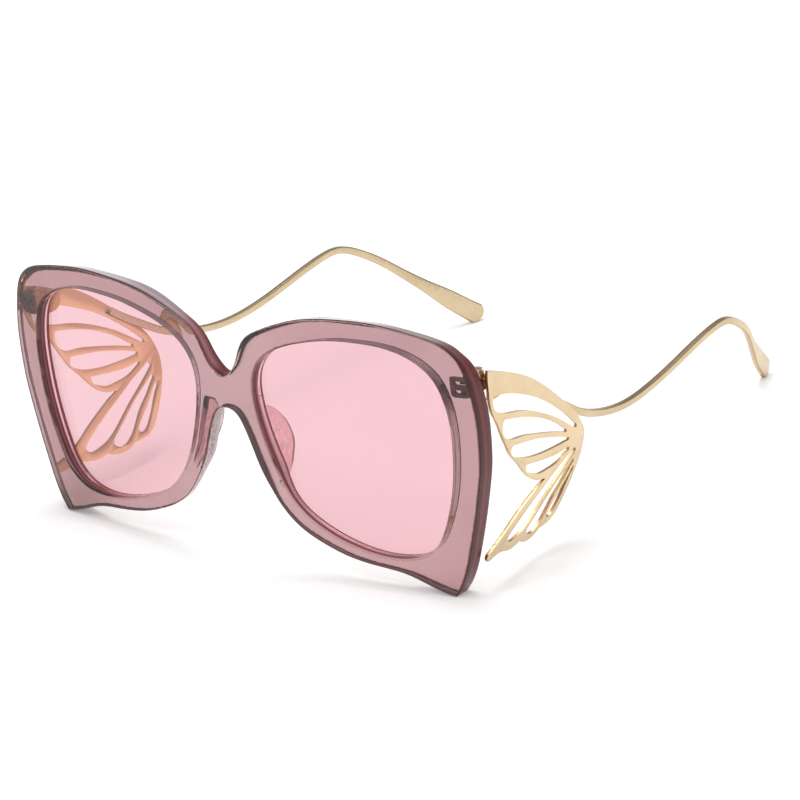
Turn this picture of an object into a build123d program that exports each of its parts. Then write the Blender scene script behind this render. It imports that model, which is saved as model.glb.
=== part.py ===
from build123d import *
from build123d.topology import SkipClean
import math
import os

# Butterfly sunglasses. X points to the wearer's left, Y to the back of the head, Z up.
# The model is built with the front face at Y zero and moved to its own middle at the end.

# Front frame
front_width = 146.8
front_height = 68.5
front_thickness = 5.6
front_wrap = 6.5
bridge_top_height = 48.4
bridge_depth = 8.4
front_edge_round = 0.8
opening_bevel = 0.7

# Rims round each lens opening
bridge_half_width = 9.4
outer_rim_width = 7.8
brow_rim_height = 5.9
opening_bottom_height = 8.1

# Lenses
lens_thickness = 1.9
lens_back_wall = 0.95
lens_bite = 0.9
groove_floor_gap = 0.2
groove_side_gap = 0.05

# Nose pads
pad_height = 21.0
pad_depth = 5.0
pad_thickness = 1.8
pad_root = 1.5
pad_seat_gap = 0.02
pad_edge_round = 0.6
pad_tilt_angle = 18.0
pad_splay_angle = 10.0

# Hinges
hinge_inset = 3.8
hinge_drop = 14.6
hinge_setback = 1.9
eye_radius = 1.5
anchor_eye_height = 1.4
temple_eye_height = 1.6
eye_gap = 0.05
screw_radius = 0.6
screw_hold_gap = 0.02
screw_run_gap = 0.05
screw_head_radius = 1.25
screw_head_height = 0.8
screw_slot_width = 0.35
screw_slot_depth = 0.3

# Anchor foot sunk in the plastic
foot_width = 5.0
foot_height = 5.0
foot_thickness = 1.6
foot_cover = 1.0
foot_outer_reach = 1.3
foot_corner_round = 1.1
foot_window_width = 3.4
foot_window_height = 1.1
foot_window_spacing = 2.2
neck_reach = 1.0

# Leaf on the wing's inner face
leaf_thickness = 1.2
leaf_eye_bite = 0.53
leaf_front_gap = 0.5
leaf_round_radius = 2.9
leaf_length = 7.5
leaf_top_rise = 1.9
leaf_drop = 5.6
leaf_arm_length = 2.6

# Wings
wing_length = 39.0
wing_height = 52.3
wing_thickness = 0.8
wing_top_rise = 3.86
wing_front_lead = 1.42
wing_lean_angle = 6.53
wing_toe_angle = 1.43
fold_angle = 10.0

# Temple rods
rod_height = 1.9
rod_thickness = 1.6
rod_length = 114.7
rod_fall = 40.9
rod_inset = 14.0
rod_seat_press = 0.03
rod_edge_round = 0.4
paddle_width = 5.2

# How far cutting shapes run past what they cut
overrun = 4.0

# Outline of the brow: share of the half width, share of the rise from bridge to brow
brow_shares = (
    (0.000, 0.000), (0.049, 0.139), (0.080, 0.378), (0.109, 0.542), (0.166, 0.677),
    (0.243, 0.796), (0.327, 0.896), (0.422, 0.960), (0.531, 0.995),
)
# Outline of the side: share of the half width, share of the height
side_shares = (
    (0.640, 0.999), (0.749, 0.985), (0.845, 0.965), (0.907, 0.940), (0.946, 0.904),
    (0.970, 0.855), (0.986, 0.788), (0.999, 0.693), (1.000, 0.599), (0.993, 0.496),
    (0.975, 0.394), (0.951, 0.285), (0.921, 0.168), (0.888, 0.066), (0.850, 0.000),
)
# Outline of the underside: share of the half width, share of the bridge's lower height
underside_shares = (
    (0.850, 0.000), (0.797, 0.022), (0.743, 0.057), (0.668, 0.102), (0.586, 0.123),
    (0.504, 0.140), (0.426, 0.170), (0.347, 0.220), (0.268, 0.292), (0.193, 0.420),
    (0.158, 0.515), (0.124, 0.625), (0.093, 0.775), (0.064, 0.910), (0.037, 0.980),
    (0.000, 1.000),
)
# Outline of a lens opening: shares of its half width and half height from its centre
opening_shares = (
    (0.196, 1.000), (0.480, 0.974), (0.722, 0.883), (0.872, 0.754), (0.957, 0.574),
    (1.000, 0.336), (1.000, 0.079), (0.975, -0.178), (0.922, -0.431), (0.843, -0.666),
    (0.744, -0.842), (0.594, -0.952), (0.391, -1.000), (0.142, -0.993), (-0.125, -0.938),
    (-0.391, -0.835), (-0.605, -0.688), (-0.765, -0.475), (-0.865, -0.248), (-0.943, -0.002),
    (-0.989, 0.218), (-1.000, 0.409), (-0.964, 0.574), (-0.865, 0.717), (-0.694, 0.831),
    (-0.445, 0.919), (-0.125, 0.985),
)
# Where a nose pad stands on the rim
pad_rim_share = 0.092
pad_rise_share = 0.776
pad_opening_share = 0.900
pad_strip_share = 0.775
# Profile of a nose pad: share of its depth, share of its half height
pad_shares = (
    (0.000, 1.000), (0.237, 0.895), (0.594, 0.695), (0.841, 0.495), (0.960, 0.295),
    (1.000, 0.095), (0.950, -0.105), (0.761, -0.305), (0.503, -0.505), (0.245, -0.705),
    (0.103, -0.850), (0.000, -1.000),
)
# Outline of a wing: share of its length from the front, share of its height from the top
wing_rear_shares = (
    (0.003, 0.000), (0.064, 0.017), (0.179, 0.054), (0.303, 0.098), (0.423, 0.148),
    (0.526, 0.204), (0.628, 0.267), (0.731, 0.337), (0.815, 0.396), (0.900, 0.463),
    (0.951, 0.515), (0.985, 0.565), (1.000, 0.619), (0.995, 0.675), (0.972, 0.735),
    (0.936, 0.788), (0.882, 0.854), (0.823, 0.912), (0.772, 0.950), (0.721, 0.971),
    (0.654, 0.979), (0.587, 0.979),
)
wing_lower_rear_shares = (
    (0.587, 0.979), (0.536, 0.994), (0.474, 1.000), (0.418, 0.994), (0.354, 0.969),
)
wing_lower_front_shares = (
    (0.354, 0.969), (0.305, 0.977), (0.254, 0.977), (0.203, 0.969), (0.146, 0.954),
    (0.074, 0.950), (0.018, 0.956), (-0.010, 0.957),
)
wing_tip_shares = ((-0.010, 0.957), (-0.022, 0.940), (-0.008, 0.921))
wing_leading_shares = (
    (-0.008, 0.921), (0.079, 0.892), (0.156, 0.862), (0.231, 0.829), (0.333, 0.788),
    (0.436, 0.752), (0.533, 0.721), (0.582, 0.710),
)
wing_front_shares = (
    (0.582, 0.710), (0.551, 0.702), (0.500, 0.694), (0.446, 0.673), (0.392, 0.637),
    (0.346, 0.596), (0.308, 0.558), (0.262, 0.519), (0.221, 0.481), (0.190, 0.437),
    (0.154, 0.385), (0.121, 0.331), (0.085, 0.277), (0.049, 0.229), (0.023, 0.169),
    (0.008, 0.094), (0.000, 0.035), (0.003, 0.000),
)
# Cells cut through the wing, in the same shares, from the top cell down and back
cell_shares = (
    ((0.074, 0.146), (0.179, 0.163), (0.351, 0.215), (0.554, 0.300), (0.741, 0.406),
     (0.849, 0.481), (0.895, 0.517), (0.910, 0.535), (0.908, 0.541), (0.895, 0.540),
     (0.867, 0.527), (0.787, 0.481), (0.692, 0.429), (0.513, 0.352), (0.308, 0.287),
     (0.141, 0.250), (0.074, 0.215), (0.054, 0.173)),
    ((0.177, 0.292), (0.279, 0.313), (0.415, 0.348), (0.551, 0.394), (0.667, 0.446),
     (0.746, 0.490), (0.790, 0.517), (0.805, 0.529), (0.803, 0.535), (0.790, 0.534),
     (0.754, 0.523), (0.667, 0.498), (0.487, 0.454), (0.333, 0.423), (0.223, 0.406),
     (0.169, 0.377), (0.149, 0.327)),
    ((0.259, 0.446), (0.372, 0.462), (0.526, 0.488), (0.679, 0.527), (0.772, 0.554),
     (0.815, 0.568), (0.831, 0.575), (0.828, 0.582), (0.813, 0.584), (0.767, 0.583),
     (0.667, 0.579), (0.500, 0.565), (0.356, 0.538), (0.274, 0.510), (0.233, 0.469)),
    ((0.392, 0.583), (0.505, 0.600), (0.608, 0.613), (0.705, 0.621), (0.779, 0.620),
     (0.815, 0.619), (0.831, 0.624), (0.828, 0.632), (0.808, 0.640), (0.762, 0.654),
     (0.679, 0.667), (0.587, 0.669), (0.505, 0.663), (0.431, 0.638), (0.382, 0.600)),
    ((0.905, 0.648), (0.915, 0.663), (0.892, 0.679), (0.808, 0.721), (0.669, 0.785),
     (0.513, 0.865), (0.392, 0.913), (0.285, 0.931), (0.213, 0.923), (0.197, 0.908),
     (0.238, 0.875), (0.408, 0.804), (0.597, 0.737), (0.769, 0.677), (0.869, 0.648)),
    ((0.903, 0.708), (0.908, 0.715), (0.892, 0.731), (0.826, 0.777), (0.703, 0.854),
     (0.618, 0.923), (0.538, 0.963), (0.459, 0.967), (0.426, 0.944), (0.487, 0.896),
     (0.638, 0.819), (0.795, 0.746), (0.874, 0.713)),
    ((0.921, 0.748), (0.921, 0.758), (0.892, 0.788), (0.813, 0.869), (0.746, 0.925),
     (0.685, 0.948), (0.654, 0.937), (0.685, 0.900), (0.792, 0.831), (0.869, 0.773),
     (0.905, 0.750)),
)
# Ends of the wing's fold line, in the same shares
fold_front_share = (-0.013, 0.944)
fold_rear_share = (0.982, 0.581)
# Where the rod starts on the wing, in the same shares
rod_start_share = (0.659, 0.314)
# Middle line of a rod: shares of its length, its fall and its inset
rod_shares = (
    (0.000, 0.000, 0.000), (0.039, 0.088, 0.000), (0.079, 0.166, 0.000),
    (0.118, 0.240, 0.000), (0.162, 0.301, 0.005), (0.205, 0.343, 0.014),
    (0.301, 0.394, 0.046), (0.389, 0.391, 0.090), (0.476, 0.358, 0.122),
    (0.555, 0.317, 0.152), (0.611, 0.291, 0.171), (0.659, 0.277, 0.185),
    (0.699, 0.285, 0.205), (0.742, 0.340, 0.246), (0.791, 0.433, 0.325),
    (0.851, 0.593, 0.519), (0.921, 0.791, 0.777), (1.000, 1.000, 1.000),
)
# Half width of the strip towards the paddle: share of the rod's line, share of the widening
paddle_shares = ((0.000, 0.000), (0.800, 0.000), (0.860, 0.250), (0.930, 0.800), (1.000, 1.000))
# How far the paddle end bulges, as a share of its half width
paddle_round_share = 0.7
ribbon_steps = 28
points_per_piece = 6

# Sizes that follow
half_width = front_width / 2
bridge_bottom_height = bridge_top_height - bridge_depth
pad_centre_height = pad_rise_share * bridge_bottom_height
front_radius = (half_width ** 2 + front_wrap ** 2) / (2 * front_wrap)
back_radius = front_radius - front_thickness
half_height = front_height / 2
through_depth = front_wrap + front_thickness + overrun + overrun


def circle_front(radius, x):
    """Y of a circle about the front's bend axis, on its front side, at a given X."""
    return front_radius - math.sqrt(radius ** 2 - x ** 2)


def bend_disc(radius):
    """Upright disc about the front's bend axis, taller than the front."""
    return Pos(0, front_radius, half_height) * Cylinder(radius, front_height + overrun)


def bend_shell(outer, inner):
    """Upright shell between two radii about the front's bend axis."""
    return bend_disc(outer) - bend_disc(inner)


def through_front(face):
    """Block through the whole depth of the front, from a face drawn in X and Z."""
    return extrude(Pos(0, -overrun, 0) * (Plane.XZ * face), amount=-through_depth)


def smooth_edges(points, periodic=False):
    """One smooth line through the points, cut into short pieces that join without a corner."""
    line = Spline(*points, periodic=periodic)
    count = math.ceil(len(points) / points_per_piece)
    return [line.trim(k / count, (k + 1) / count) for k in range(count)]


def closed_curve(points, grow):
    """Face inside a smooth closed curve, moved outward by grow."""
    if grow == 0:
        return make_face(smooth_edges(points, periodic=True))
    line = Spline(*points, periodic=True)
    moved = []
    for k in range(len(points)):
        spot = line @ (k / len(points))
        along = line % (k / len(points))
        moved.append((spot.X - along.Y * grow, spot.Y + along.X * grow))
    return make_face(smooth_edges(moved, periodic=True))


def ribbon(points, half_at, round_end):
    """Band along a smooth line through the points, with a half width that may change."""
    line = Spline(*points)
    left = []
    right = []
    for k in range(ribbon_steps + 1):
        spot = line @ (k / ribbon_steps)
        along = line % (k / ribbon_steps)
        half = half_at(k / ribbon_steps)
        left.append((spot.X - along.Y * half, spot.Y + along.X * half))
        right.append((spot.X + along.Y * half, spot.Y - along.X * half))
    tip = line @ 1 + (line % 1) * (half_at(1) * round_end)
    if round_end > 0:
        end = ThreePointArc(left[-1], (tip.X, tip.Y), right[-1])
    else:
        end = Line(left[-1], right[-1])
    start = Line(right[0], left[0])
    return make_face(smooth_edges(left) + [end] + smooth_edges(right[::-1]) + [start])


# Front frame outline
brow_rise = front_height - bridge_top_height
top_half = [(a * half_width, bridge_top_height + b * brow_rise) for a, b in brow_shares]
top_half += [(a * half_width, b * front_height) for a, b in side_shares]
under_half = [(a * half_width, b * bridge_bottom_height) for a, b in underside_shares]
top_line = [(-x, z) for x, z in reversed(top_half[1:])] + top_half
under_line = under_half + [(-x, z) for x, z in reversed(under_half[:-1])]
front_face = make_face(smooth_edges(top_line) + smooth_edges(under_line))
blank = through_front(front_face) & bend_shell(front_radius, back_radius)
rim_edges = [edge for edge in blank.edges() if edge.geom_type != GeomType.LINE]
blank = fillet(rim_edges, front_edge_round)

# Lens openings
opening_half_width = (half_width - outer_rim_width - bridge_half_width) / 2
opening_half_height = (front_height - brow_rim_height - opening_bottom_height) / 2
opening_x = bridge_half_width + opening_half_width
opening_z = opening_bottom_height + opening_half_height
opening_line = [
    (opening_x + a * opening_half_width, opening_z + b * opening_half_height)
    for a, b in opening_shares
]
groove_depth = lens_bite + groove_floor_gap
lens_front_radius = back_radius + lens_back_wall + lens_thickness
lens_back_radius = back_radius + lens_back_wall
opening_cut = through_front(closed_curve(opening_line, 0))
groove_cut = through_front(closed_curve(opening_line, groove_depth))
groove_cut &= bend_shell(lens_front_radius + groove_side_gap, lens_back_radius - groove_side_gap)
lens = through_front(closed_curve(opening_line, lens_bite))
lens &= bend_shell(lens_front_radius, lens_back_radius)

# Hinge places
hinge_x = half_width - hinge_inset
hinge_y = circle_front(back_radius, hinge_x) + hinge_setback
hinge_z = front_height - hinge_drop
half_temple_eye = temple_eye_height / 2
stack_half = half_temple_eye + eye_gap + anchor_eye_height
upper_eye_z = hinge_z + half_temple_eye + eye_gap
lower_eye_z = hinge_z - stack_half


def upright_pin(radius, height, z):
    """Upright cylinder on the hinge axis, standing on z."""
    return Pos(hinge_x, hinge_y, z) * Cylinder(
        radius, height, align=(Align.CENTER, Align.CENTER, Align.MIN))


def slab(x_min, x_max, y_min, y_max, z_min, z_max):
    """Box between two corners."""
    return Pos(x_min, y_min, z_min) * Box(
        x_max - x_min, y_max - y_min, z_max - z_min, align=(Align.MIN, Align.MIN, Align.MIN))


# Anchor: a curved foot in the plastic, two necks and two eyes
foot_x = hinge_x + foot_outer_reach - foot_width / 2
foot_face = Rectangle(foot_width, foot_height)
foot_face = fillet(foot_face.vertices().sort_by(Axis.Y)[:2], foot_corner_round)
for side in (-1, 1):
    window = SlotOverall(foot_window_width, foot_window_height)
    foot_face -= Pos(0, side * foot_window_spacing / 2) * window
foot_face = Pos(foot_x, hinge_z) * foot_face
foot_radius = back_radius + foot_cover
anchor = through_front(foot_face)
anchor &= bend_shell(foot_radius + foot_thickness, foot_radius)
neck_y = circle_front(foot_radius + foot_thickness / 2, hinge_x)
for eye_z in (lower_eye_z, upper_eye_z):
    top_z = eye_z + anchor_eye_height
    anchor += slab(hinge_x - eye_radius, hinge_x + neck_reach, neck_y, hinge_y, eye_z, top_z)
    anchor += upright_pin(eye_radius, anchor_eye_height, eye_z)
hole_radius = screw_radius + screw_hold_gap
anchor -= upright_pin(hole_radius, stack_half + stack_half, lower_eye_z)

# Screw with a slotted head that rests on the upper eye
stack_top_z = hinge_z + stack_half
screw = upright_pin(screw_radius, stack_half + stack_half, lower_eye_z)
screw += upright_pin(screw_head_radius, screw_head_height, stack_top_z)
slot_z = stack_top_z + screw_head_height - screw_slot_depth
slot_half = screw_slot_width / 2
slot_reach = screw_head_radius + overrun
screw -= slab(hinge_x - slot_reach, hinge_x + slot_reach, hinge_y - slot_half,
              hinge_y + slot_half, slot_z, slot_z + overrun)

# Front frame: openings with a bevelled front edge, then grooves and anchor seats
opening_rim = opening_cut.faces().sort_by(Axis.Y)[0].outer_wire()


def at_mouth(spot):
    """True where a point lies on the front edge of either opening."""
    depth = front_radius - math.hypot(spot.X, spot.Y - front_radius)
    seen = Vertex(abs(spot.X), -overrun, spot.Z)
    return depth < opening_bevel / 2 and opening_rim.distance_to(seen) < opening_bevel / 2


frame = blank - opening_cut - mirror(opening_cut, about=Plane.YZ)
frame = chamfer([edge for edge in frame.edges() if at_mouth(edge @ 0.5)], opening_bevel)
for cut in (groove_cut, anchor):
    frame = frame - cut - mirror(cut, about=Plane.YZ)

# Temple frame: back along the wing, up along the wing, out of its outer face
lean = math.radians(wing_lean_angle)
toe = math.radians(wing_toe_angle)
outward = Vector(math.cos(toe) * math.cos(lean), math.sin(toe) * math.cos(lean), -math.sin(lean))
backward = Vector(-math.sin(toe), math.cos(toe), 0)
upward = outward.cross(backward)
outer_offset = eye_radius - leaf_eye_bite + leaf_thickness + wing_thickness
temple_origin = Vector(hinge_x, hinge_y, hinge_z) + outward * outer_offset
wing_plane = Plane(origin=temple_origin, x_dir=backward, z_dir=outward)
plan_plane = Plane(origin=temple_origin, x_dir=backward, z_dir=upward)
wing_front = -wing_front_lead


def wing_spots(shares):
    """Points in the wing's plane from shares of its length and height."""
    return [(wing_front + a * wing_length, wing_top_rise - b * wing_height) for a, b in shares]


# Wing: a pierced sheet, then its hind part bent inward along the fold
wing_rim = []
for shares in (wing_rear_shares, wing_lower_rear_shares, wing_lower_front_shares,
               wing_tip_shares, wing_leading_shares, wing_front_shares):
    wing_rim += smooth_edges(wing_spots(shares))
cell_rims = [Wire(smooth_edges(wing_spots(shares), periodic=True)) for shares in cell_shares]
sheet = extrude(Face(Wire(wing_rim), cell_rims), amount=-wing_thickness)
fold_front, fold_rear = wing_spots((fold_front_share, fold_rear_share))
fold_run = Vector(fold_rear[0] - fold_front[0], fold_rear[1] - fold_front[1], 0).normalized()
fold_across = Vector(-fold_run.Y, fold_run.X, 0)
half_fold = math.radians(fold_angle) / 2
fold_origin = (fold_front[0], fold_front[1], 0)
across = fold_across * math.cos(half_fold)
rise = Vector(0, 0, math.sin(half_fold))
fore_cut = Plane(origin=fold_origin, x_dir=fold_run, z_dir=across + rise)
hind_cut = Plane(origin=fold_origin, x_dir=fold_run, z_dir=across - rise)
fore_wing = split(sheet, bisect_by=fore_cut, keep=Keep.TOP)
hind_wing = split(sheet, bisect_by=hind_cut, keep=Keep.BOTTOM)
hind_wing = hind_wing.rotate(Axis(fold_origin, fold_run), fold_angle)
with SkipClean():
    wing = wing_plane * (fore_wing + hind_wing)

# Leaf: an eye between the anchor's eyes, an arm and a plate on the wing's inner face
inner_face = -wing_thickness
leaf_front = math.sqrt(eye_radius ** 2 - (eye_radius - leaf_eye_bite) ** 2) + leaf_front_gap
leaf_end = leaf_length - leaf_round_radius
leaf_bottom = -leaf_drop
leaf_round_z = leaf_bottom + leaf_round_radius
leaf_rim = Line((leaf_front, leaf_top_rise), (leaf_front, leaf_bottom))
leaf_rim += Line((leaf_front, leaf_bottom), (leaf_end, leaf_bottom))
leaf_rim += ThreePointArc((leaf_end, leaf_bottom), (leaf_length, leaf_round_z),
                          (leaf_end, leaf_round_z + leaf_round_radius))
leaf_rim += Line((leaf_end, leaf_round_z + leaf_round_radius), (leaf_front, leaf_top_rise))
plate = extrude(Pos(0, 0, inner_face) * make_face(leaf_rim), amount=-leaf_thickness)
leaf = wing_plane * plate
arm = slab(hinge_x, hinge_x + outer_offset, hinge_y - eye_radius / 2, hinge_y + leaf_arm_length,
           hinge_z - half_temple_eye, hinge_z + half_temple_eye)
inner_depth = rod_inset + rod_thickness + overrun
temple_length = wing_length + rod_length
inside = wing_plane * slab(-wing_length, temple_length, -front_height, front_height,
                           -inner_depth, inner_face)
leaf += arm & inside
leaf += upright_pin(eye_radius, temple_eye_height, hinge_z - half_temple_eye)
leaf -= upright_pin(screw_radius + screw_run_gap, stack_half + stack_half, lower_eye_z)

# Temple rod: a strip shaped in side view and bent in plan view
rod_start = wing_spots((rod_start_share,))[0]
half_rod = rod_height / 2


def rod_half_at(share):
    """Half height of the strip at a share of its line."""
    for (a, b), (c, d) in zip(paddle_shares, paddle_shares[1:]):
        if share <= c:
            widening = b + (d - b) * (share - a) / (c - a)
            return half_rod + widening * (paddle_width / 2 - half_rod)
    return paddle_width / 2


side_spots = [(rod_start[0] + a * rod_length, rod_start[1] - b * rod_fall) for a, b, c in rod_shares]
rod_middle = inner_face - rod_thickness / 2 + rod_seat_press
plan_spots = [(rod_start[0] + a * rod_length, rod_middle - c * rod_inset) for a, b, c in rod_shares]
last_x = plan_spots[-1][0] - plan_spots[-2][0]
last_y = plan_spots[-1][1] - plan_spots[-2][1]
last_length = math.hypot(last_x, last_y)
reach_x = last_x / last_length * overrun
reach_y = last_y / last_length * overrun
plan_spots = [(plan_spots[0][0] - overrun, plan_spots[0][1])] + plan_spots
plan_spots += [(plan_spots[-1][0] + reach_x, plan_spots[-1][1] + reach_y)]
side_band = extrude(wing_plane * ribbon(side_spots, rod_half_at, paddle_round_share), amount=-inner_depth)
plan_face = ribbon([(x, -y) for x, y in plan_spots], lambda share: rod_thickness / 2, 0)
plan_band = extrude(plan_plane * plan_face, amount=wing_height + overrun, both=True)
rod = side_band & plan_band & inside
long_edges = [edge for edge in rod.edges() if edge.length > paddle_width]
rod = fillet(long_edges, rod_edge_round)

# Nose pad: a rounded plate leaned and splayed, seated on the back of the rim
pad_half_height = pad_height / 2
pad_line = [(a * pad_depth, b * pad_half_height) for a, b in pad_shares]
pad_rim = Spline(*pad_line) + Line(pad_line[-1], (-pad_root, pad_line[-1][1]))
pad_rim += Line((-pad_root, pad_line[-1][1]), (-pad_root, pad_line[0][1]))
pad_rim += Line((-pad_root, pad_line[0][1]), pad_line[0])
pad_blank = extrude(Plane.YZ * make_face(pad_rim), amount=pad_thickness)
pad_blank = Pos(-pad_thickness / 2, 0, 0) * pad_blank
pad_strip_start = pad_rim_share * half_width
pad_strip_end = opening_x - pad_opening_share * opening_half_width
pad_x = pad_strip_start + pad_strip_share * (pad_strip_end - pad_strip_start)
pad_y = circle_front(back_radius, pad_x)
pad_blank = pad_blank.rotate(Axis.Z, -pad_splay_angle).rotate(Axis.Y, -pad_tilt_angle)
pad_blank = Pos(pad_x, pad_y, pad_centre_height) * pad_blank
pad_edges = pad_blank.edges().filter_by(lambda edge: edge.length > pad_depth + pad_root)
pad_blank = fillet(pad_edges.sort_by(lambda edge: edge.center().Y)[-2:], pad_edge_round)
pad = pad_blank & bend_disc(back_radius - pad_seat_gap)

# Node names, with the wearer's left on the positive X side
left_pieces = {
    "lens": lens,
    "nose_pad": pad,
    "front_hinge": anchor,
    "temple_hinge": leaf,
    "hinge_screw": screw,
    "temple_wing": wing,
    "temple_rod": rod,
}
nodes = {"front_frame": frame}
for name, piece in left_pieces.items():
    nodes["left_" + name] = piece
    nodes["right_" + name] = mirror(piece, about=Plane.YZ)

# Move the model to the middle of its own box in Y, standing on Z zero
boxes = [piece.bounding_box() for piece in nodes.values()]
front_y = min(box.min.Y for box in boxes)
rear_y = max(box.max.Y for box in boxes)
floor_z = min(box.min.Z for box in boxes)
shift = Pos(0, -(front_y + rear_y) / 2, -floor_z)
print("shift", -(front_y + rear_y) / 2, -floor_z)
print("hinge", hinge_x, hinge_y - (front_y + rear_y) / 2, hinge_z - floor_z)

os.makedirs("parts", exist_ok=True)
for name, piece in nodes.items():
    export_step(shift * piece, "parts/" + name + ".step")
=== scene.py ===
"""Butterfly sunglasses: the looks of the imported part, in metres, in the part's own frame."""

import logging
import math
from dataclasses import dataclass
from enum import Enum
from typing import Callable, Sequence

import bmesh
import bpy
from mathutils import Matrix, Vector
from mathutils.kdtree import KDTree


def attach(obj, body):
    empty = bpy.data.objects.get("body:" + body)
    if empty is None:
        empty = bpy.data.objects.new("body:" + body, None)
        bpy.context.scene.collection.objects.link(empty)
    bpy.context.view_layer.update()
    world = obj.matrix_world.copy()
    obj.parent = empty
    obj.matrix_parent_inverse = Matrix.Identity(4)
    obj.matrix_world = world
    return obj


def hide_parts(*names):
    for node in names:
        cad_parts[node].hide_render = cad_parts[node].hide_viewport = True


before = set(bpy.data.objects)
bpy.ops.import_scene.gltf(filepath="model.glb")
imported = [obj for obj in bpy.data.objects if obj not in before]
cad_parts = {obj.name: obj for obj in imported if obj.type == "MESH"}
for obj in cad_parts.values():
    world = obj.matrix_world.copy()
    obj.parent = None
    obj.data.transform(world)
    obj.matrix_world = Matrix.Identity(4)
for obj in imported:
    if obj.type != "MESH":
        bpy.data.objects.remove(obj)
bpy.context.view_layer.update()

LOG = logging.getLogger("sunglasses")
MM = 0.001

Colour = tuple[float, float, float]
Span = tuple[float, float]
Stops = Sequence[tuple[float, Colour]]
Rule = Callable[[Vector, Vector], float]
Socket = bpy.types.NodeSocket
Piece = bpy.types.Object
Form = bmesh.types.BMesh

WHITE: Colour = (1.0, 1.0, 1.0)
MERGE_DISTANCE = 0.001 * MM
FLAT_DEGREES = 0.5
RIM_STEPS = 2
RIM_DEGREES = 50.0
METAL_DEGREES = 40.0

# Places of the colour sockets among a Mix node's inputs and outputs.
MIX_FIRST, MIX_SECOND, MIX_RESULT = 6, 7, 2


class Side(Enum):
    """The wearer's side that a piece belongs to."""

    LEFT = "left"
    RIGHT = "right"

    @property
    def sign(self) -> float:
        """Plus one on the positive X side, minus one on the other."""
        return 1.0 if self is Side.LEFT else -1.0

    @property
    def temple(self) -> str:
        """Name of the body that this side's temple rides on."""
        return self.named("temple")

    def named(self, name: str) -> str:
        """Name of a node or a piece of this side."""
        return f"{self.value}_{name}"


class Blend(Enum):
    """How a second colour is laid over a first."""

    MIX = "MIX"
    MULTIPLY = "MULTIPLY"


class Sum(Enum):
    """How one number is worked out from two."""

    PRODUCT = "MULTIPLY"
    LARGER = "MAXIMUM"


class Ray(Enum):
    """A kind of ray that a material can tell from the others."""

    CAMERA = "Is Camera Ray"
    SHADOW = "Is Shadow Ray"
    GLOSSY = "Is Glossy Ray"
    TRANSMISSION = "Is Transmission Ray"


def written(red: int, green: int, blue: int) -> Colour:
    """Turn a colour as it is written, 0 to 255, into linear light.

    Args:
        red: Red as written.
        green: Green as written.
        blue: Blue as written.

    Returns:
        The linear colour.
    """
    def straight(part: int) -> float:
        """One channel in linear light, by the sRGB curve."""
        share = part / 255
        return share / 12.92 if share <= 0.04045 else ((share + 0.055) / 1.055) ** 2.4

    return straight(red), straight(green), straight(blue)


def layers(*rows: tuple[float, int, int, int]) -> Stops:
    """Stops of a ramp, each a place and a colour's red, green and blue as written."""
    return tuple((spot, written(*colour)) for spot, *colour in rows)


def greys(*rows: Span) -> Stops:
    """Stops of a ramp, each a place and a grey level in linear light."""
    return tuple((spot, (level, level, level)) for spot, level in rows)


def scaled(colour: Colour, factor: float) -> Colour:
    """A colour made lighter or darker by a factor."""
    return tuple(factor * part for part in colour)


def mm(*lengths: float) -> tuple[float, ...]:
    """Lengths in millimetres as metres."""
    return tuple(length * MM for length in lengths)


def smooth_step(value: float, low: float, high: float) -> float:
    """Ease from 0 at low to 1 at high."""
    share = min(max((value - low) / (high - low), 0.0), 1.0)
    return share * share * (3.0 - 2.0 * share)


def fade(value: float, low: float, high: float) -> float:
    """Ease from 1 at low to 0 at high."""
    return 1.0 - smooth_step(value, low, high)


def level_part(vector: Vector) -> Vector:
    """A vector's part in X and Z, with nothing along the front's depth."""
    return Vector((vector.x, 0.0, vector.z))


def nothing_selected() -> None:
    """Leave edit mode and deselect every object."""
    if bpy.context.object is not None and bpy.context.object.mode != "OBJECT":
        bpy.ops.object.mode_set(mode="OBJECT")
    bpy.ops.object.select_all(action="DESELECT")


def pick_up(piece: Piece) -> None:
    """Make one object the only selected and active one.

    Args:
        piece: The object.
    """
    nothing_selected()
    piece.select_set(True)
    bpy.context.view_layer.objects.active = piece


def merged_copy(node: str, name: str) -> Piece:
    """Copy a node's mesh into a new object and merge its loose triangles.

    Args:
        node: The CAD node to copy.
        name: Name of the new piece.

    Returns:
        The new object, at the origin.
    """
    piece = bpy.data.objects.new(name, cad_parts[node].data.copy())
    bpy.context.scene.collection.objects.link(piece)
    pick_up(piece)
    bpy.ops.object.mode_set(mode="EDIT")
    bpy.ops.mesh.select_all(action="SELECT")
    bpy.ops.mesh.remove_doubles(threshold=MERGE_DISTANCE)
    bpy.ops.mesh.customdata_custom_splitnormals_clear()
    bpy.ops.object.mode_set(mode="OBJECT")
    return piece


def reshape(piece: Piece, *works: Callable[[Form], None]) -> None:
    """Work on a piece's mesh in its edit form.

    Args:
        piece: The piece to reshape.
        works: What is done to the form, one after another.
    """
    form = bmesh.new()
    form.from_mesh(piece.data)
    for work in works:
        work(form)
    form.to_mesh(piece.data)
    form.free()


def smooth_over(piece: Piece, degrees: float) -> None:
    """Shade smooth, but for edges sharper than an angle."""
    pick_up(piece)
    bpy.ops.object.shade_smooth_by_angle(angle=math.radians(degrees))


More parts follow.
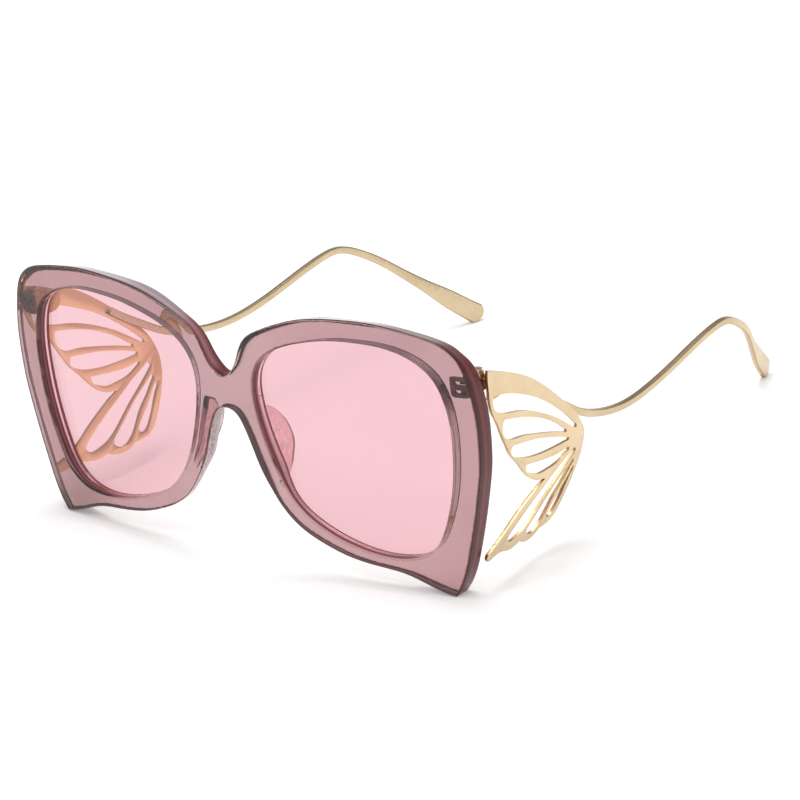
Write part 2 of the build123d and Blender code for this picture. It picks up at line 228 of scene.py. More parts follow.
def bevel_rims(piece: Piece, width: float) -> None:
    """Flatten a metal piece's faces and round its sharp rims.

    Args:
        piece: The piece to work on.
        width: Width of the bevel in metres.
    """
    pick_up(piece)
    bpy.ops.object.mode_set(mode="EDIT")
    bpy.ops.mesh.select_all(action="SELECT")
    bpy.ops.mesh.dissolve_limited(angle_limit=math.radians(FLAT_DEGREES))
    bpy.ops.object.mode_set(mode="OBJECT")
    rounding = piece.modifiers.new("rim", "BEVEL")
    rounding.width, rounding.segments = width, RIM_STEPS
    rounding.limit_method = "ANGLE"
    rounding.angle_limit = math.radians(RIM_DEGREES)
    bpy.ops.object.modifier_apply(modifier=rounding.name)


def metal_copy(node: str, name: str, rim: float, degrees: float = METAL_DEGREES) -> Piece:
    """Copy a metal node, round its rims and shade it.

    Args:
        node: The CAD node to copy.
        name: Name of the new piece.
        rim: Width of the rounding along its rims, in metres.
        degrees: Edges sharper than this stay sharp in the shading.

    Returns:
        The new object.
    """
    piece = merged_copy(node, name)
    bevel_rims(piece, rim)
    smooth_over(piece, degrees)
    return piece


def mark_corners(piece: Piece, rules: dict[str, Rule]) -> None:
    """Keep numbers on every face corner, worked out from its place and normal.

    Args:
        piece: The piece to mark.
        rules: For each attribute that the finish reads, what gives its number
            from a corner's place and its shading normal.
    """
    mesh = piece.data
    corners = [
        (mesh.vertices[loop.vertex_index].co.copy(),
         Vector(mesh.corner_normals[loop.index].vector))
        for loop in mesh.loops
    ]
    for name, rule in rules.items():
        mark = mesh.attributes.new(name, "FLOAT", "CORNER")
        mark.data.foreach_set("value", [rule(spot, normal) for spot, normal in corners])


def fill_ramp(band: bpy.types.ColorRamp, stops: Stops) -> None:
    """Set a colour ramp's stops.

    Args:
        band: The ramp.
        stops: Places and colours along it.
    """
    while len(band.elements) < len(stops):
        band.elements.new(0.5)
    for element, (spot, colour) in zip(band.elements, stops):
        element.position = spot
        element.color = (*colour, 1.0)


class Board:
    """A material's node tree, with short calls to lay out its nodes."""

    def __init__(self, name: str) -> None:
        """Start a material with a Principled shader and an output.

        Args:
            name: Name of the material.
        """
        self.material = bpy.data.materials.new(name)
        self.material.use_nodes = True
        self.tree = self.material.node_tree
        self.tree.nodes.clear()
        self.output = self.tree.nodes.new("ShaderNodeOutputMaterial")
        self.shader = self.tree.nodes.new("ShaderNodeBsdfPrincipled")
        self.join(self.shader.outputs[0], self.output.inputs["Surface"])

    def join(self, source: Socket, target: Socket) -> None:
        """Link two sockets."""
        self.tree.links.new(source, target)

    def feed(self, source: Socket, name: str) -> None:
        """Link a socket to one of the shader's inputs."""
        self.join(source, self.shader.inputs[name])

    def set(self, name: str, value: float) -> None:
        """Set one of the shader's inputs to a uniform value."""
        self.shader.inputs[name].default_value = value

    def add(self, kind: str, **settings: object) -> bpy.types.Node:
        """Add a node and set its properties and inputs.

        Args:
            kind: The node's type name.
            settings: Property names, or input names with spaces as underscores.

        Returns:
            The new node.
        """
        node = self.tree.nodes.new(kind)
        for name, value in settings.items():
            if hasattr(node, name):
                setattr(node, name, value)
            else:
                node.inputs[name.replace("_", " ")].default_value = value
        return node

    def noise(self, scale: float, detail: float, rough: float) -> Socket:
        """Lay a noise over the piece, in the piece's own coordinates.

        Args:
            scale: Waves a metre.
            detail: Number of finer octaves.
            rough: Weight of the finer octaves.

        Returns:
            The noise value.
        """
        node = self.add("ShaderNodeTexNoise", Scale=scale, Detail=detail, Roughness=rough)
        self.join(self.add("ShaderNodeTexCoord").outputs["Object"], node.inputs["Vector"])
        return node.outputs["Fac"]

    def mark(self, name: str) -> Socket:
        """The number that a piece keeps under a name."""
        return self.add("ShaderNodeAttribute", attribute_name=name).outputs["Fac"]

    def met_by(self, ray: Ray) -> Socket:
        """1 where the surface is met by one kind of ray."""
        return self.add("ShaderNodeLightPath").outputs[ray.value]

    def plain(self, colour: Colour) -> Socket:
        """Give one colour all over.

        Args:
            colour: The colour.

        Returns:
            Its socket.
        """
        node = self.add("ShaderNodeRGB")
        node.outputs[0].default_value = (*colour, 1.0)
        return node.outputs[0]

    def ramp(self, value: Socket, stops: Stops) -> Socket:
        """Turn a value into a colour.

        Args:
            value: The socket that drives the ramp.
            stops: Places and colours along the ramp.

        Returns:
            The colour.
        """
        node = self.add("ShaderNodeValToRGB")
        fill_ramp(node.color_ramp, stops)
        self.join(value, node.inputs["Fac"])
        return node.outputs["Color"]

    def mottled(self, value: Socket, places: Span, low: Colour, high: Colour) -> Socket:
        """Vary between two colours, each reached at its own place along a noise or a mark."""
        return self.ramp(value, tuple(zip(places, (low, high))))

    def mix(self, share: Socket | float, first: Socket, second: Socket,
            blend: Blend = Blend.MIX) -> Socket:
        """Lay a second colour over a first.

        Args:
            share: How much of the second colour, a socket or a number.
            first: The first colour.
            second: The second colour.
            blend: How the second is laid over the first.

        Returns:
            The mixed colour.
        """
        node = self.add("ShaderNodeMix", data_type="RGBA", blend_type=blend.value)
        if isinstance(share, float):
            node.inputs[0].default_value = share
        else:
            self.join(share, node.inputs[0])
        self.join(first, node.inputs[MIX_FIRST])
        self.join(second, node.inputs[MIX_SECOND])
        return node.outputs[MIX_RESULT]

    def range(self, value: Socket, low: float, high: float) -> Socket:
        """Map a value from 0 to 1 on to a range.

        Args:
            value: The value.
            low: What 0 becomes.
            high: What 1 becomes.

        Returns:
            The mapped value.
        """
        node = self.add("ShaderNodeMapRange", To_Min=low, To_Max=high)
        self.join(value, node.inputs["Value"])
        return node.outputs["Result"]

    def eased(self, value: Socket, start: float, end: float) -> Socket:
        """Ease a value from 0 to 1.

        Args:
            value: The value.
            start: Where the ease starts.
            end: Where it reaches 1.

        Returns:
            The eased value.
        """
        node = self.add("ShaderNodeMapRange", interpolation_type="SMOOTHSTEP",
                        From_Min=start, From_Max=end)
        self.join(value, node.inputs["Value"])
        return node.outputs["Result"]

    def reckon(self, way: Sum, first: Socket, second: Socket) -> Socket:
        """Work out one number from two.

        Args:
            way: How it is worked out.
            first: The first number.
            second: The second number.

        Returns:
            The result.
        """
        node = self.add("ShaderNodeMath", operation=way.value)
        self.join(first, node.inputs[0])
        self.join(second, node.inputs[1])
        return node.outputs[0]

    def bump(self, height: Socket, strength: float, depth: float) -> None:
        """Put a bump on the shader's normal.

        Args:
            height: The height, from 0 to 1.
            strength: How strongly the bump shows.
            depth: The height's full depth in metres.
        """
        node = self.add("ShaderNodeBump", Strength=strength, Distance=depth)
        self.join(height, node.inputs["Height"])
        self.feed(node.outputs["Normal"], "Normal")

    def pale_shadow(self, tint: Colour) -> None:
        """Let part of the light through, so that a clear piece casts a pale shadow.

        Args:
            tint: The light that each surface lets through.
        """
        clear = self.add("ShaderNodeBsdfTransparent", Color=(*tint, 1.0))
        either = self.add("ShaderNodeMixShader")
        self.join(self.met_by(Ray.SHADOW), either.inputs["Fac"])
        self.join(self.shader.outputs[0], either.inputs[1])
        self.join(clear.outputs[0], either.inputs[2])
        self.join(either.outputs[0], self.output.inputs["Surface"])

    def glow(self, level: float) -> None:
        """Lift what the camera, and glass and metal in its view, see of a surface.

        Args:
            level: Strength of the lift.
        """
        seen = self.met_by(Ray.CAMERA)
        for ray in (Ray.GLOSSY, Ray.TRANSMISSION):
            seen = self.reckon(Sum.LARGER, seen, self.met_by(ray))
        self.feed(self.range(seen, 0.0, level), "Emission Strength")
        self.shader.inputs["Emission Color"].default_value = (*WHITE, 1.0)

    def depth_tint(self, colour: Colour, density: float) -> None:
        """Soak up light on its way through the piece, until only a colour is left."""
        depth = self.add("ShaderNodeVolumeAbsorption", Color=(*colour, 1.0), Density=density)
        self.join(depth.outputs[0], self.output.inputs["Volume"])


@dataclass(frozen=True)
class AcetateFinish:
    """Polished mauve acetate: clear faces, worked walls that show the layers of the plate.

    The ramps run over the depth, from the front face to the back. Those named within give how
    dark and solid a wall is to a view from inside the plastic; that darkness is painted shade.
    """

    name: str = "mauve acetate"
    index: float = 1.49
    shine: float = 0.35
    absorb: Colour = (0.44, 0.03, 0.07)
    density: float = 212.0
    shadow: Colour = (0.46, 0.43, 0.44)
    haze: Colour = (0.985, 0.975, 0.978)
    # Painted shade: darker, pinker faces where the front is thinned.
    thinned_face_shade: Colour = (0.72, 0.57, 0.59)
    cloud_scale: float = 70.0
    cloud_places: Span = (0.35, 0.65)
    ripple_scale: float = 1500.0
    detail: float = 2.0
    rough_detail: float = 0.5
    roughness: Span = (0.01, 0.035)
    bump_strength: float = 0.3
    bump_depth: float = 0.02 * MM
    worked_edge: Span = (0.12, 0.50)
    nose_back: Span = (0.55, 0.80)
    calm_places: Span = (0.3, 0.7)
    calm_nose: tuple[Colour, Colour] = (written(208, 194, 196), written(222, 212, 213))
    rough_nose: Stops = layers(
        (0.36, 158, 128, 132), (0.44, 196, 170, 174), (0.58, 210, 188, 190), (0.68, 232, 220, 221),
    )
    outer_layers: Stops = layers(
        (0.00, 96, 40, 44), (0.18, 70, 12, 14), (0.28, 84, 26, 30), (0.42, 124, 58, 62),
        (0.50, 122, 56, 60), (0.60, 104, 44, 50), (0.78, 110, 54, 58), (0.90, 102, 58, 64),
        (1.00, 90, 58, 62),
    )
    bridge_layers: Stops = layers(
        (0.00, 84, 40, 44), (0.12, 132, 74, 80), (0.35, 168, 116, 121), (0.60, 142, 80, 86),
        (0.82, 100, 52, 56), (0.90, 54, 28, 31),
    )
    # Painted reflection: the pale middle of these layers stands for the bright room mirrored on
    # walls that look up, between dark layer lines.
    top_layers_and_reflection: Stops = layers(
        (0.00, 50, 24, 28), (0.14, 54, 28, 31), (0.22, 160, 138, 142), (0.45, 184, 168, 171),
        (0.60, 150, 132, 136), (0.84, 166, 150, 154), (0.93, 92, 70, 74), (1.00, 74, 54, 58),
    )
    opening_layers: Stops = layers(
        (0.00, 126, 84, 86), (0.16, 112, 70, 73), (0.24, 88, 44, 44), (0.30, 150, 98, 100),
        (0.37, 138, 84, 86), (0.43, 118, 58, 58), (0.52, 124, 64, 64), (0.60, 162, 104, 106),
        (1.00, 166, 112, 114),
    )
    airy_layers: Stops = layers(
        (0.00, 196, 150, 154), (0.14, 168, 108, 112), (0.24, 128, 58, 62), (0.34, 150, 76, 82),
        (0.46, 226, 168, 176), (0.80, 222, 166, 172), (1.00, 150, 90, 96),
    )
    # Painted shade: walls seen from inside the plastic, standing in for the dark room they mirror;
    # greyer where the walls look up.
    unlit: Stops = layers((0.35, 92, 48, 52), (0.50, 146, 86, 90), (0.70, 158, 94, 98))
    unlit_high: Stops = layers((0.35, 66, 46, 49), (0.50, 98, 70, 73), (0.70, 112, 80, 83))
    clouded: Stops = greys((0.00, 0.95), (0.45, 0.90), (1.00, 0.94))
    outer_within: Stops = greys((0.00, 1.0), (0.30, 1.0), (0.44, 0.0), (0.90, 0.0), (0.96, 1.0))
    under_within: Stops = greys((0.00, 1.0), (0.60, 0.9), (0.80, 0.5), (0.92, 1.0))
    opening_within: Stops = greys(
        (0.00, 1.0), (0.10, 0.9), (0.18, 0.2), (0.36, 0.2), (0.44, 0.9), (0.54, 0.2),
        (0.86, 0.3), (0.92, 1.0),
    )
    nose_within: Stops = greys((0.0, 1.0), (1.0, 0.9))
    # Painted shade: dark lines laid over the bevels between the faces and the walls.
    painted_edge_shade: Stops = (
        (0.00, WHITE), (0.03, (0.97, 0.84, 0.80)), (0.13, (0.24, 0.13, 0.13)),
        (0.50, (0.24, 0.13, 0.13)), (0.80, WHITE), (1.00, WHITE),
    )

    def face(self, board: Board, cloud: Socket) -> Socket:
        """Colour the clear faces, darker and pinker as painted shade where the front is thinned.

        Args:
            board: The material's board.
            cloud: The broad noise.

        Returns:
            The colour.
        """
        clean = board.mottled(cloud, self.cloud_places, self.haze, WHITE)
        thinned_shade = board.mottled(board.mark("thinned"), (0.0, 1.0), WHITE, self.thinned_face_shade)
        return board.mix(1.0, clean, thinned_shade, Blend.MULTIPLY)

    def outside(self, board: Board, depth: Socket, ripple: Socket) -> Socket:
        """Colour the walls as seen from outside.

        Args:
            board: The material's board.
            depth: The depth behind the front face.
            ripple: The fine noise.

        Returns:
            The colour.
        """
        opening = board.mix(board.mark("airy"), board.ramp(depth, self.opening_layers),
                            board.ramp(depth, self.airy_layers))
        outer = board.mix(board.mark("bridge"), board.ramp(depth, self.outer_layers),
                          board.ramp(depth, self.bridge_layers))
        # Painted reflection on the walls that look up.
        outer = board.mix(board.mark("rise"), outer, board.ramp(depth, self.top_layers_and_reflection))
        wall = board.mix(board.mark("opening"), outer, opening)
        nose = board.mix(board.eased(depth, *self.nose_back), board.ramp(ripple, self.rough_nose),
                         board.mottled(ripple, self.calm_places, *self.calm_nose))
        return board.mix(board.mark("nose"), wall, nose)

    def darkness(self, board: Board, depth: Socket) -> Socket:
        """Set how dark and solid the walls are as seen from inside the plastic; the dark is
        painted shade.

        Args:
            board: The material's board.
            depth: The depth behind the front face.

        Returns:
            The darkness, 0 where a wall is clear.
        """
        level = board.mix(board.mark("under"), board.ramp(depth, self.outer_within),
                          board.ramp(depth, self.under_within))
        level = board.mix(board.mark("opening"), level, board.ramp(depth, self.opening_within))
        return board.mix(board.mark("nose"), level, board.ramp(depth, self.nose_within))

    def material(self) -> bpy.types.Material:
        """Build the material.

        Returns:
            The material, ready for a piece.
        """
        board = Board(self.name)
        board.set("IOR", self.index)
        board.set("Specular IOR Level", self.shine)
        cloud = board.noise(self.cloud_scale, self.detail, self.rough_detail)
        ripple = board.noise(self.ripple_scale, self.detail, self.rough_detail)
        edge = board.mark("edge")
        depth = board.mark("depth")
        glint = board.mark("glint")
        face = self.face(board, cloud)
        within = board.add("ShaderNodeNewGeometry").outputs["Backfacing"]
        dark = self.darkness(board, depth)
        unlit = board.mix(glint, board.ramp(cloud, self.unlit), board.ramp(cloud, self.unlit_high))
        wall = board.mix(within, self.outside(board, depth, ripple), board.mix(dark, face, unlit))
        worked = board.eased(edge, *self.worked_edge)
        base = board.mix(worked, face, wall)
        # Painted shade along the bevels, left off where the walls look up.
        edge_shaded = board.mix(1.0, base, board.ramp(edge, self.painted_edge_shade), Blend.MULTIPLY)
        board.feed(board.mix(glint, edge_shaded, base), "Base Color")
        solid = board.mix(within, board.ramp(depth, self.clouded), dark)
        solid = board.reckon(Sum.PRODUCT, worked, solid)
        board.feed(board.range(solid, 1.0, 0.0), "Transmission Weight")
        board.feed(board.range(cloud, *self.roughness), "Roughness")
        relief = board.mix(board.mark("nose"), cloud, ripple)
        board.bump(relief, self.bump_strength, self.bump_depth)
        board.depth_tint(self.absorb, self.density)
        board.pale_shadow(self.shadow)
        return board.material


@dataclass(frozen=True)
class LensFinish:
    """Tinted lens with a darker ground edge."""

    name: str = "pink lens"
    index: float = 1.5
    tint: Colour = (0.785, 0.484, 0.527)
    softer: float = 0.985
    ground_edge: Colour = (0.42, 0.16, 0.20)
    edge_lighter: float = 1.1
    shadow: Colour = (0.93, 0.87, 0.885)
    cloud: tuple[float, float, float] = (25.0, 1.0, 0.4)
    cloud_places: Span = (0.3, 0.7)
    roughness: Span = (0.005, 0.25)

    def material(self) -> bpy.types.Material:
        """Build the material.

        Returns:
            The material, ready for a piece.
        """
        board = Board(self.name)
        board.set("Transmission Weight", 1.0)
        board.set("IOR", self.index)
        cloud = board.noise(*self.cloud)
        edge = board.mark("edge")
        face = board.mottled(cloud, self.cloud_places, scaled(self.tint, self.softer), self.tint)
        rim = board.mottled(cloud, self.cloud_places, self.ground_edge,
                            scaled(self.ground_edge, self.edge_lighter))
        board.feed(board.mix(edge, face, rim), "Base Color")
        board.feed(board.range(edge, *self.roughness), "Roughness")
        board.pale_shadow(self.shadow)
        return board.material


@dataclass(frozen=True)
class PadFinish:
    """Clear nose pad, its free edge painted dark as shade, with a rippled strip of glue at its
    seat.
    """

    name: str = "clear pad"
    index: float = 1.46
    tint: Colour = (0.78, 0.55, 0.58)
    tint_lighter: float = 1.06
    rim_shade_tint: Colour = (0.20, 0.06, 0.07)
    rim_shade_lighter: float = 1.2
    seat_tint: Colour = (0.66, 0.48, 0.50)
    seat_lighter: float = 1.5
    shadow: Colour = (0.72, 0.68, 0.69)
    ripple: tuple[float, float, float] = (900.0, 1.0, 0.4)
    places: Span = (0.3, 0.7)
    seat_places: Span = (0.40, 0.55)
    swell_scale: float = 60.0
    roughness: Span = (0.03, 0.12)
    bump_strength: float = 0.4
    bump_depth: float = 0.05 * MM

    def material(self) -> bpy.types.Material:
        """Build the material.

        Returns:
            The material, ready for a piece.
        """
        board = Board(self.name)
        board.set("Transmission Weight", 1.0)
        board.set("IOR", self.index)
        ripple = board.noise(*self.ripple)
        seat = board.mark("seat")
        face = board.mottled(ripple, self.places, self.tint,
                             scaled(self.tint, self.tint_lighter))
        strip = board.mottled(ripple, self.seat_places, self.seat_tint,
                              scaled(self.seat_tint, self.seat_lighter))
        # Painted shade: a dark outline on the pad's free edge.
        bound = board.mottled(ripple, self.places, self.rim_shade_tint,
                              scaled(self.rim_shade_tint, self.rim_shade_lighter))
        body = board.mix(board.mark("end"), board.mix(seat, face, strip), board.plain(WHITE))
        board.feed(board.mix(board.mark("rim"), body, bound), "Base Color")
        board.feed(board.range(seat, *self.roughness), "Roughness")
        relief = board.mix(seat, board.noise(self.swell_scale, 0.0, 0.0), ripple)
        board.bump(relief, self.bump_strength, self.bump_depth)
        board.pale_shadow(self.shadow)
        return board.material


@dataclass(frozen=True)
class Tint:
    """A tint of painted light or shade that a finish takes where a piece's mark is 1.

    One set to through shows only where the surface is seen through a lens or the plastic.
    """

    mark: str
    colour: Colour
    through: bool = False

    def lay(self, board: Board, base: Socket) -> Socket:
        """Multiply a colour by the tint.

        Args:
            board: The material's board.
            base: The colour without the tint.

        Returns:
            The tinted colour.
        """
        share = board.mark(self.mark)
        if self.through:
            share = board.reckon(Sum.PRODUCT, share, board.met_by(Ray.TRANSMISSION))
        flat = board.mottled(share, (0.0, 1.0), WHITE, self.colour)
        return board.mix(1.0, base, flat, Blend.MULTIPLY)


@dataclass(frozen=True)
class GoldFinish:
    """Pale gold plate with fine grain; its cut edges are painted darker, as shade."""

    name: str
    bright: Colour
    deep: Colour
    # Painted shade: the colour of the cut edges, and of a rod's underside.
    cut_edge_shade: Colour
    roughness: float
    grain: float
    tints: tuple[Tint, ...] = ()
    cloud: tuple[float, float, float] = (110.0, 3.0, 0.5)
    cloud_places: Span = (0.3, 0.65)
    cut_deeper: float = 0.85
    grain_detail: Span = (2.0, 0.6)
    uneven: Span = (0.85, 1.15)
    bump_strength: float = 0.07
    bump_depth: float = 0.01 * MM

    def material(self) -> bpy.types.Material:
        """Build the material.

        Returns:
            The material, ready for a piece.
        """
        board = Board(self.name)
        board.set("Metallic", 1.0)
        cloud = board.noise(*self.cloud)
        face = board.mottled(cloud, self.cloud_places, self.deep, self.bright)
        for tint in self.tints:
            face = tint.lay(board, face)
        cut = board.mottled(cloud, self.cloud_places, scaled(self.cut_edge_shade, self.cut_deeper),
                            self.cut_edge_shade)
        board.feed(board.mix(board.mark("edge"), face, cut), "Base Color")
        fine = board.noise(self.grain, *self.grain_detail)
        low, high = (share * self.roughness for share in self.uneven)
        board.feed(board.range(fine, low, high), "Roughness")
        board.bump(fine, self.bump_strength, self.bump_depth)
        return board.material


# Painted light: the wing's inner sides, seen through the lens, are painted brighter and warmer on
# the fore wing and browner on the hind wing; the hind wing's outer side is painted a little
# darker, as shade.
WING_GOLD = GoldFinish(
    "wing gold", written(227, 205, 169), written(218, 194, 156), written(206, 176, 134),
    0.30, 2600.0, (
        Tint("inner", (1.22, 1.09, 0.92), through=True),
        Tint("inner_bent", (0.97, 0.80, 0.62), through=True),
        Tint("outer_bent", (0.97, 0.95, 0.92)),
    ),
)
# Painted shade: the rod's top is painted darker.
ROD_GOLD = GoldFinish(
    "rod gold", written(213, 193, 159), written(202, 180, 144), written(190, 156, 114),
    0.27, 2200.0, (Tint("top_shade", (0.66, 0.64, 0.62)),),
)
LEAF_GOLD = GoldFinish(
    "leaf gold", written(214, 170, 128), written(190, 146, 106), written(150, 112, 84),
    0.34, 3000.0,
)
# Painted shade: the anchor is darker and mauve where it is sunk in the plastic.
ANCHOR_METAL = GoldFinish(
    "anchor metal", written(206, 168, 130), written(180, 142, 106), written(150, 112, 84),
    0.34, 3000.0, (Tint("inner", (0.34, 0.25, 0.36), through=True),),
)
SCREW_GOLD = GoldFinish(
    "screw gold", written(226, 198, 160), written(206, 174, 134), written(170, 134, 98),
    0.25, 3000.0,
)


class Finishes:
    """Every finish of the sunglasses, made once."""

    def __init__(self) -> None:
        """Build the materials."""
        self.acetate = AcetateFinish().material()
        self.lens = LensFinish().material()
        self.pad = PadFinish().material()
        self.wing = WING_GOLD.material()
        self.rod = ROD_GOLD.material()
        self.leaf = LEAF_GOLD.material()
        self.anchor = ANCHOR_METAL.material()
        self.screw = SCREW_GOLD.material()


def finish_piece(piece: Piece, material: bpy.types.Material, node: str, body: str) -> None:
    """Dress a piece, hang it on its body and hide the CAD node that it stands for.

    Args:
        piece: The finished piece.
        material: Its finish.
        node: The CAD node that it stands for.
        body: The body that it rides on.
    """
    piece.data.materials.clear()
    piece.data.materials.append(material)
    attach(piece, body)
    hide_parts(node)
    LOG.info("%s: %d faces, rides on %s", piece.name, len(piece.data.polygons), body)


@dataclass
class AcetateFront:
    """The plastic front: one solid round both openings, with the metal feet sunk in it.

    The pockets' corners and the opening's centre are given in X and Z. The other pairs of
    numbers are where an ease along a place or a tilt starts and where it ends, and the
    groove's two depths.
    """

    finishes: Finishes
    half_width: float = 73.4 * MM
    wrap: float = 6.5 * MM
    thickness: float = 5.6 * MM
    apex: float = -76.97157 * MM
    pocket_low: Span = mm(65.75, 51.2)
    pocket_high: Span = mm(71.15, 56.7)
    skin: float = 0.15 * MM
    groove: Span = mm(2.67, 4.73)
    opening_centre: Span = mm(37.5, 35.35)
    opening_start: float = 9.3 * MM
    brow_fall: float = 1.9 * MM
    bridge_fall: float = 1.2 * MM
    fall_reach: Span = mm(24.0, 44.0)
    fall_start: Span = mm(2.0, 9.0)
    bridge_tilt: Span = (0.0, 0.4)
    brow_tilt: Span = (0.15, 0.75)
    evening: float = 3.0 * MM
    thin_rise: Span = mm(17.0, 32.0)
    thin_reach: Span = mm(40.0, 68.0)
    thin_nose: Span = mm(12.0, 28.0)
    thin_rim: float = 2.2 * MM
    thin_more: float = 0.9 * MM
    thin_bridge: float = 1.2 * MM
    bridge_reach: Span = mm(10.0, 24.0)
    thin_fade: float = 1.8 * MM
    wall_facing: float = 0.985
    upright_facing: float = 0.2
    broad_facing: float = 0.93
    broad_turn: float = 0.64
    broad_depth: float = 0.5
    round_degrees: float = 50.0
    nose_tilt: Span = (0.25, 0.5)
    nose_low: Span = mm(7.0, 11.0)
    nose_high: Span = mm(37.0, 40.0)
    airy_reach: Span = mm(38.0, 52.0)
    airy_rise: Span = mm(44.0, 52.0)
    dip_start: Span = mm(1.0, 4.0)
    dip_reach: Span = mm(26.0, 40.0)
    dip_rise: Span = mm(38.0, 44.0)
    top_start: Span = mm(8.0, 14.0)
    top_reach: Span = mm(40.0, 54.0)
    top_tilt: Span = (0.72, 0.94)
    under_tilt: Span = (0.2, 0.5)
    glint_tilt: Span = (0.15, 0.5)

    @property
    def radius(self) -> float:
        """Radius of the front's bend."""
        return (self.half_width ** 2 + self.wrap ** 2) / (2 * self.wrap)

    def reach(self, spot: Vector) -> float:
        """Distance of a place from the axis of the front's bend."""
        return math.hypot(spot.x, spot.y - self.apex - self.radius)

    def along_y(self, reach: float, across: float) -> float:
        """Y of the place at an X that lies a distance from the axis."""
        return self.apex + self.radius - math.sqrt(reach ** 2 - across ** 2)

    def through(self, spot: Vector) -> Vector:
        """The direction straight through the front at a place."""
        return Vector((spot.x, spot.y - self.apex - self.radius, 0.0)).normalized()

    def facing(self, spot: Vector, normal: Vector) -> float:
        """How far a normal points through the front, 0 on a wall and 1 on a face."""
        return abs(normal.dot(self.through(spot)))

    def face_facing(self, face: bmesh.types.BMFace) -> float:
        """How far a face of the form points through the front."""
        return self.facing(face.calc_center_median(), face.normal)

    def depth(self, spot: Vector) -> float:
        """Share of the thickness behind the front face."""
        return (self.radius - self.reach(spot)) / self.thickness

    def layer(self, spot: Vector) -> float:
        """Share of the front's own thickness at a place, behind its face."""
        return self.depth(spot) * self.thickness / (self.thickness - self.thinned(spot))

    def behind(self, spot: Vector) -> float:
        """Distance of a place behind the thinned front's back."""
        return (self.depth(spot) - 1.0) * self.thickness + self.thinned(spot)

    def thinned(self, spot: Vector) -> float:
        """Work out how much thinner the front is, low down and beside the nose.

        Args:
            spot: The place.

        Returns:
            The difference in metres.
        """
        wide = abs(spot.x)
        more = self.thin_rim + self.thin_more * fade(wide, *self.thin_nose)
        rim = more * fade(spot.z, *self.thin_rise) * fade(wide, *self.thin_reach)
        return max(rim, self.thin_bridge * fade(wide, *self.bridge_reach))

    def thin(self, form: Form) -> None:
        """Thin the rims low down and beside the nose, with what stands on them.

        Args:
            form: The front, a lens or a pad.
        """
        for vert in form.verts:
            less = self.thinned(vert.co)
            share = self.depth(vert.co)
            if share > 1.0:
                share = max(0.0, 1.0 - (share - 1.0) * self.thickness / self.thin_fade)
            vert.co.y = self.along_y(self.reach(vert.co) + less * share, vert.co.x)

    def fill_pockets(self, form: Form) -> None:
        """Close the hollows round the metal feet, which the plastic is cast on to.

        Args:
            form: The front.
        """
        inner = self.skin / self.thickness
        hollow = []
        for face in form.faces:
            spot = face.calc_center_median()
            within = (self.pocket_low[0] < abs(spot.x) < self.pocket_high[0]
                      and self.pocket_low[1] < spot.z < self.pocket_high[1])
            if within and inner < self.depth(spot) < 1.0 - inner:
                hollow.append(face)
        bmesh.ops.delete(form, geom=hollow, context="FACES")
        open_edges = [edge for edge in form.edges if edge.is_boundary]
        bmesh.ops.holes_fill(form, edges=open_edges, sides=0)
        loose = [edge for edge in form.edges if edge.is_boundary or edge.is_wire]
        if loose:
            bmesh.ops.triangle_fill(form, edges=loose, use_beauty=True, use_dissolve=False)
        LOG.info("pockets: %d faces out, %d open edges left", len(hollow),
                 sum(edge.is_boundary for edge in form.edges))

    def fill_grooves(self, form: Form) -> None:
        """Carry each opening's wall straight through, over the groove that the lens fills.

        Args:
            form: The front.
        """
        low, high = (part / self.thickness for part in self.groove)
        outer = self.outer_wall(form)
        grooved = [
            face for face in form.faces
            if face not in outer and all(low < self.depth(vert.co) < high for vert in face.verts)
        ]
        bmesh.ops.delete(form, geom=grooved, context="FACES")
        for side in Side:
            rims = [edge for edge in form.edges
                    if edge.is_boundary and edge.verts[0].co.x * side.sign > 0]
            bmesh.ops.bridge_loops(form, edges=rims)
        LOG.info("grooves: %d faces out, %d open edges left", len(grooved),
                 sum(edge.is_boundary for edge in form.edges))

    def close_up(self, form: Form) -> None:
        """Split what the fills left with many corners, drop loose points and turn faces out.

        Args:
            form: The front.
        """
        many = [face for face in form.faces if len(face.verts) > 4]
        bmesh.ops.triangulate(form, faces=many)
        alone = [vert for vert in form.verts if not vert.link_faces]
        bmesh.ops.delete(form, geom=alone, context="VERTS")
        bmesh.ops.recalc_face_normals(form, faces=form.faces)

    def outer_wall(self, form: Form) -> set[bmesh.types.BMFace]:
        """Find the outer wall and its rounded edges, by walking on from the widest point.

        Args:
            form: The front.

        Returns:
            The wall's faces.
        """
        walls = {face for face in form.faces if self.face_facing(face) < self.wall_facing}
        start = max(walls, key=lambda face: face.calc_center_median().x)
        seen = {start}
        queue = [start]
        while queue:
            for edge in queue.pop().edges:
                for face in edge.link_faces:
                    if face in walls and face not in seen:
                        seen.add(face)
                        queue.append(face)
        return seen

    def fall(self, spot: Vector, outward: Vector) -> float:
        """Work out how far the outer wall's back edge lies inside its front edge.

        Args:
            spot: A place on the wall.
            outward: The wall's direction there.

        Returns:
            The distance in metres.
        """
        wide = abs(spot.x)
        near = fade(wide, *self.fall_reach)
        slope = (near * smooth_step(outward.z, *self.bridge_tilt)
                 + (1.0 - near) * smooth_step(outward.z, *self.brow_tilt))
        most = near * self.bridge_fall + (1.0 - near) * self.brow_fall
        return most * slope * smooth_step(wide, *self.fall_start)

